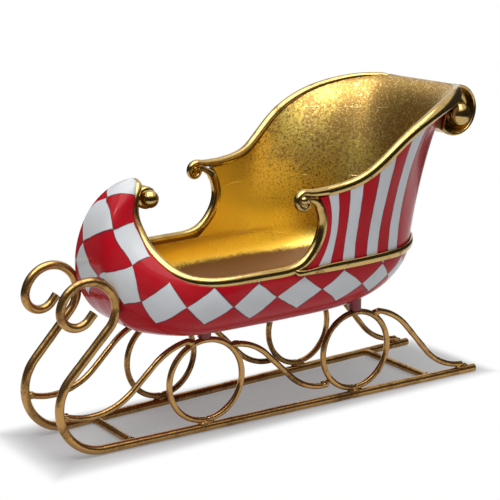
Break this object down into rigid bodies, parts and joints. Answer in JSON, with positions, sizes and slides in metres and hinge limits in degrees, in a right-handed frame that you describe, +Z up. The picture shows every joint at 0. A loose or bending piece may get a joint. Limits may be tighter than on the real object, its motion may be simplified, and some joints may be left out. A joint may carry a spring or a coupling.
{
  "type": "sleigh",
  "caption": "Decorative sleigh: open painted shell with a curled prow and a winged, rolled back, gold bead trim, on wire rings and braces over two scrolled runners.",
  "frame": {"origin": "middle of the bounding box on the ground under the runners", "axes": "+X towards the prow, +Y to the sleigh's left, +Z up"},
  "size_m": [0.5159, 0.2356, 0.3314],
  "materials": {
    "paint": "gloss",
    "gold": "gold leaf",
    "wire": "antique gold",
    "pad": "satin"
  },
  "bodies": {
    "root": {"hull": "paint", "seat_back": "paint", "back_roll": "gold", "back_ball_left": "gold", "back_ball_right": "gold", "prow_roll": "gold", "prow_ball_left": "gold", "prow_ball_right": "gold", "rim_bead_left": "gold", "rim_bead_right": "gold", "wing_bead_left": "gold", "wing_bead_right": "gold", "belt_moulding": "gold", "arm_scroll_left": "gold", "arm_scroll_right": "gold", "pad_front_left": "pad", "pad_front_right": "pad", "pad_rear_left": "pad", "pad_rear_right": "pad", "ring_front_left": "wire", "ring_front_right": "wire", "ring_rear_left": "wire", "ring_rear_right": "wire", "runner_left": "wire", "runner_right": "wire", "brace_front_left": "wire", "brace_front_right": "wire", "brace_mid_left": "wire", "brace_mid_right": "wire", "brace_rear_left": "wire", "brace_rear_right": "wire", "crossbar_front": "wire", "crossbar_rear": "wire"}
  },
  "joints": []
}
